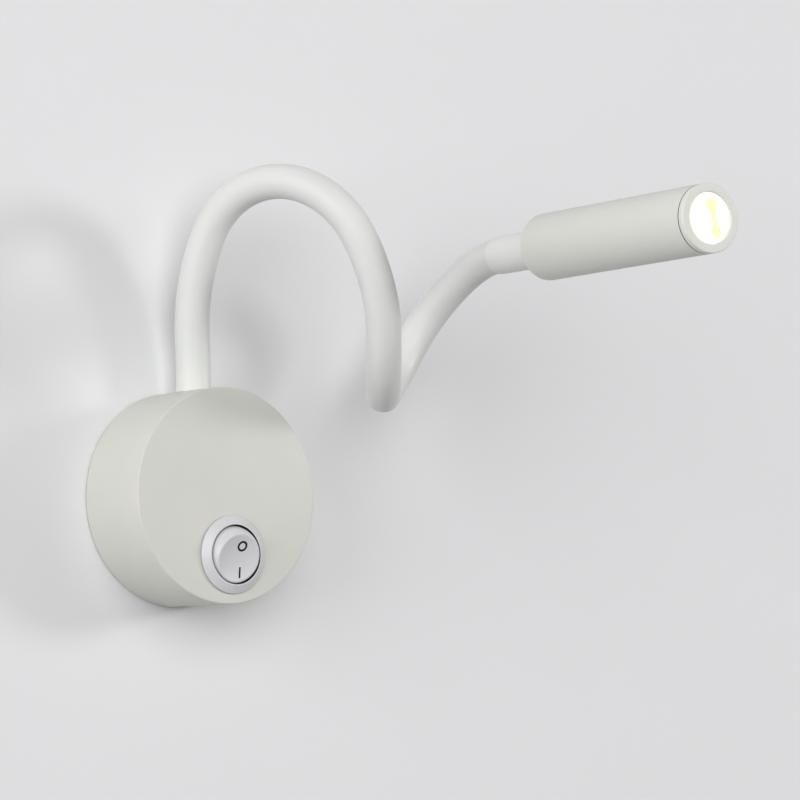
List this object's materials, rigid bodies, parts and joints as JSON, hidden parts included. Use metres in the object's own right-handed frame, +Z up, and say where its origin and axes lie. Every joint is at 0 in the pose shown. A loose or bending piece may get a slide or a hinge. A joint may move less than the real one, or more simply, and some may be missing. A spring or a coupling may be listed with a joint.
{
  "type": "bedside wall reading lamp",
  "caption": "Bedside wall reading lamp: flat round base with a round rocker switch, a flexible sleeved neck and a slim cylindrical spot head.",
  "frame": {"origin": "middle of the cable entry in the round base, in the plane of the wall", "axes": "+Z up, +Y into the wall, so the lamp stands out of the wall towards -Y; +X to the right as one faces the wall"},
  "size_m": [0.1195, 0.1601, 0.1294],
  "materials": {
    "drum_paint": "cream-white powder coat, satin",
    "head_paint": "aluminium with cream-white powder coat, satin",
    "zinc_steel": "zinc-plated sheet steel",
    "screw_steel": "zinc-plated screws",
    "grommet_rubber": "matt black rubber",
    "sleeve_silicone": "smooth white silicone",
    "gooseneck_steel": "wound spring steel",
    "lead_jacket": "white jacket",
    "lead_blue": "blue insulation",
    "lead_brown": "brown insulation",
    "lead_earth": "green and yellow insulation",
    "lead_cores": "thin insulated cores",
    "switch_body": "white nylon",
    "switch_brass": "stamped brass",
    "plunger_nylon": "natural nylon",
    "spring_steel": "spring wire",
    "driver_plastic": "white moulded plastic",
    "circuit_green": "green circuit board",
    "component_black": "dark moulded components",
    "pad_foam": "grey foam tape",
    "block_plastic": "natural moulded nylon",
    "slug_aluminium": "bare turned aluminium",
    "emitter_phosphor": "yellow phosphor under a clear dome",
    "holder_plastic": "black moulded holder",
    "lens_clear": "frosted clear lens"
  },
  "bodies": {
    "base": {"base_drum": "drum_paint", "block_screw": "screw_steel", "cable_grommet": "grommet_rubber", "clamp_screws": "screw_steel", "cover_screw": "screw_steel", "driver_case": "driver_plastic", "driver_circuit": "circuit_green", "driver_components": "component_black", "driver_lid": "driver_plastic", "driver_pad": "pad_foam", "earth_lead": "lead_earth", "earth_screw": "screw_steel", "earth_tag": "switch_brass", "live_lead": "lead_brown", "neck_core_1": "gooseneck_steel", "neck_lead": "lead_jacket", "neck_nut": "zinc_steel", "neck_sleeve_1": "sleeve_silicone", "neck_stud": "zinc_steel", "neck_washer": "zinc_steel", "neutral_lead": "lead_blue", "switch_housing": "switch_body", "switch_terminals": "switch_brass", "switched_lead": "lead_brown", "terminal_block": "block_plastic", "wall_plate": "zinc_steel"},
    "link_1": {"neck_sleeve_2": "sleeve_silicone", "neck_core_2": "gooseneck_steel"},
    "link_2": {"neck_sleeve_3": "sleeve_silicone", "neck_core_3": "gooseneck_steel"},
    "link_3": {"neck_sleeve_4": "sleeve_silicone", "neck_core_4": "gooseneck_steel"},
    "link_4": {"neck_sleeve_5": "sleeve_silicone", "neck_core_5": "gooseneck_steel"},
    "link_5": {"neck_sleeve_6": "sleeve_silicone", "neck_core_6": "gooseneck_steel"},
    "link_6": {"neck_sleeve_7": "sleeve_silicone", "neck_core_7": "gooseneck_steel"},
    "link_7": {"neck_sleeve_8": "sleeve_silicone", "neck_core_8": "gooseneck_steel"},
    "head": {"neck_sleeve_9": "sleeve_silicone", "neck_core_9": "gooseneck_steel", "head_ferrule": "head_paint", "head_nut": "screw_steel", "head_tube": "head_paint", "front_ring": "head_paint", "lens": "lens_clear", "lens_holder": "holder_plastic", "light_board": "slug_aluminium", "light_emitter": "emitter_phosphor", "light_tails": "lead_cores", "board_screws": "screw_steel", "heat_sink": "slug_aluminium"},
    "rocker": {"switch_rocker": "switch_body", "switch_plunger": "plunger_nylon", "plunger_spring": "spring_steel"},
    "seesaw": {"switch_seesaw": "switch_brass"}
  },
  "joints": [
    {"name": "neck_bend_1", "type": "hinge", "parent": "base", "child": "link_1", "pos_m": [-0.001, -0.01, 0.04756], "axis": [0.8333, 0.5302, 0.1563], "range_deg": [-22, 22], "deforming": ["neck_lead"]},
    {"name": "neck_bend_2", "type": "hinge", "parent": "link_1", "child": "link_2", "pos_m": [-0.00142, -0.01816, 0.07749], "axis": [0.3582, -0.8279, -0.4315], "range_deg": [-22, 22], "deforming": ["neck_lead"]},
    {"name": "neck_bend_3", "type": "hinge", "parent": "link_2", "child": "link_3", "pos_m": [0.007, -0.04224, 0.09209], "axis": [0.8804, 0.3226, 0.3477], "range_deg": [-22, 22], "deforming": ["neck_lead"]},
    {"name": "neck_bend_4", "type": "hinge", "parent": "link_3", "child": "link_4", "pos_m": [0.02096, -0.06206, 0.07514], "axis": [0.0587, -0.9667, 0.249], "range_deg": [-22, 22], "deforming": ["neck_lead"]},
    {"name": "neck_bend_5", "type": "hinge", "parent": "link_4", "child": "link_5", "pos_m": [0.03285, -0.05917, 0.0469], "axis": [0.7974, -0.603, 0.0247], "range_deg": [-22, 22], "deforming": ["neck_lead"]},
    {"name": "neck_bend_6", "type": "hinge", "parent": "link_5", "child": "link_6", "pos_m": [0.04868, -0.03886, 0.03182], "axis": [0.3667, -0.27, 0.8903], "range_deg": [-22, 22], "deforming": ["neck_lead"]},
    {"name": "neck_bend_7", "type": "hinge", "parent": "link_6", "child": "link_7", "pos_m": [0.06896, -0.02565, 0.04771], "axis": [0.851, -0.1608, -0.5], "range_deg": [-22, 22], "deforming": ["neck_lead"]},
    {"name": "neck_bend_8", "type": "hinge", "parent": "link_7", "child": "head", "pos_m": [0.07947, -0.04173, 0.07078], "axis": [-0.3625, -0.5005, -0.7862], "range_deg": [-22, 22], "deforming": ["neck_lead"]},
    {"name": "rocker_tilt", "type": "hinge", "parent": "base", "child": "rocker", "pos_m": [0.002, -0.0253, -0.0174], "axis": [1, 0, 0], "range_deg": [-30, 0]},
    {"name": "seesaw_tilt", "type": "hinge", "parent": "base", "child": "seesaw", "pos_m": [0.002, -0.0162, -0.0174], "axis": [1, 0, 0], "range_deg": [0, 16]}
  ],
  "couplings": [
    {"joint": "seesaw_tilt", "follows": "rocker_tilt", "ratio": -0.53333}
  ]
}
